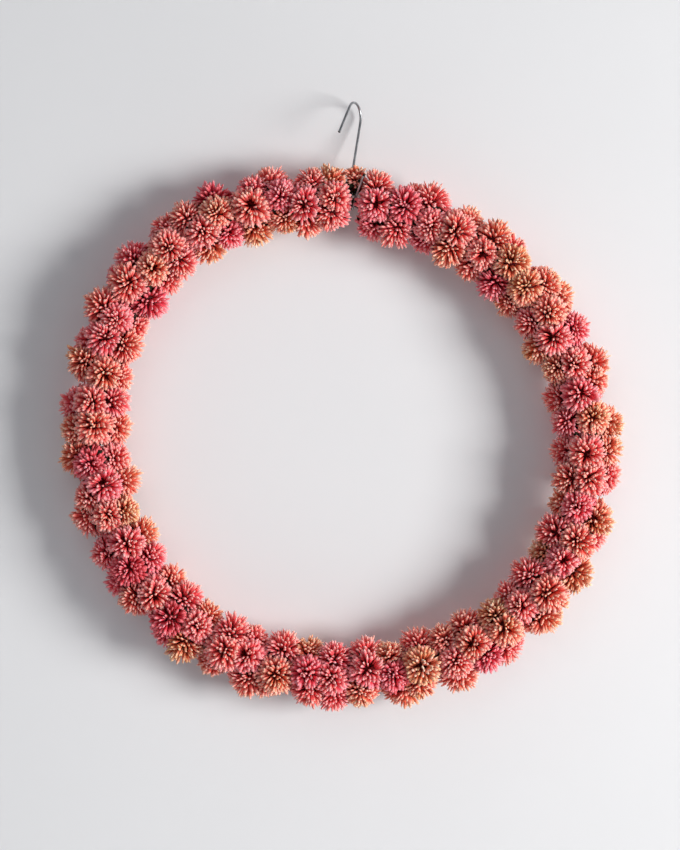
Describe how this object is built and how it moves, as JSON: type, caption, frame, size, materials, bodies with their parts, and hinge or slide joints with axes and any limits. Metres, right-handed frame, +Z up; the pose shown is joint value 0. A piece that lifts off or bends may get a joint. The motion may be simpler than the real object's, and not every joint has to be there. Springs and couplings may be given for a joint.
{
  "type": "flower wreath on a wire frame",
  "caption": "Round hanging wreath: a taped steel wire hoop dressed on its front and sides with small coral-pink many-petalled flower heads, swinging on a bent steel wire hook.",
  "frame": {"origin": "the point under the top of the hook's arc that bears on the nail, rail or branch the wreath hangs from", "axes": "+X to the right as the wreath faces the viewer, -Y out of the wreath's front, +Z up"},
  "size_m": [0.357, 0.0443, 0.3865],
  "materials": {
    "hook_steel": "plain drawn steel wire, satin, cut ends darker",
    "hoop_steel": "plain drawn steel wire, satin",
    "binding_wire": "green lacquered reel wire, satin",
    "floral_tape": "waxed crepe tape, matt, wound on",
    "petals": "soft moulded petals, coral to rose pink with cream tips and dark red roots, satin"
  },
  "bodies": {
    "hook": {"hook_wire": "hook_steel", "neck_sprig": "petals"},
    "wreath": {"ring_wire": "hoop_steel", "joint_binding": "binding_wire", "stem_tape": "floral_tape", "sprig_01": "petals", "sprig_02": "petals", "sprig_03": "petals", "sprig_04": "petals", "sprig_05": "petals", "sprig_06": "petals", "sprig_07": "petals", "sprig_08": "petals", "sprig_09": "petals", "sprig_10": "petals", "sprig_11": "petals", "sprig_12": "petals", "sprig_13": "petals", "sprig_14": "petals", "sprig_15": "petals", "sprig_16": "petals", "sprig_17": "petals", "sprig_18": "petals", "sprig_19": "petals", "sprig_20": "petals", "sprig_21": "petals", "sprig_22": "petals", "sprig_23": "petals", "sprig_24": "petals", "sprig_25": "petals", "sprig_26": "petals", "sprig_27": "petals", "sprig_28": "petals", "sprig_29": "petals", "sprig_30": "petals", "sprig_31": "petals", "sprig_32": "petals", "sprig_33": "petals", "sprig_34": "petals", "sprig_35": "petals", "sprig_36": "petals", "sprig_37": "petals", "sprig_38": "petals", "sprig_39": "petals", "sprig_40": "petals", "sprig_41": "petals", "sprig_42": "petals", "sprig_43": "petals", "sprig_44": "petals", "sprig_45": "petals", "sprig_46": "petals", "sprig_47": "petals", "sprig_48": "petals", "sprig_49": "petals", "sprig_50": "petals", "sprig_51": "petals", "sprig_52": "petals"}
  },
  "joints": [
    {"name": "hook_swing", "type": "hinge", "parent": "hook", "child": "wreath", "pos_m": [-0.0014, -0.0106, -0.06391], "axis": [1, 0, 0], "range_deg": [-20, 20]}
  ]
}
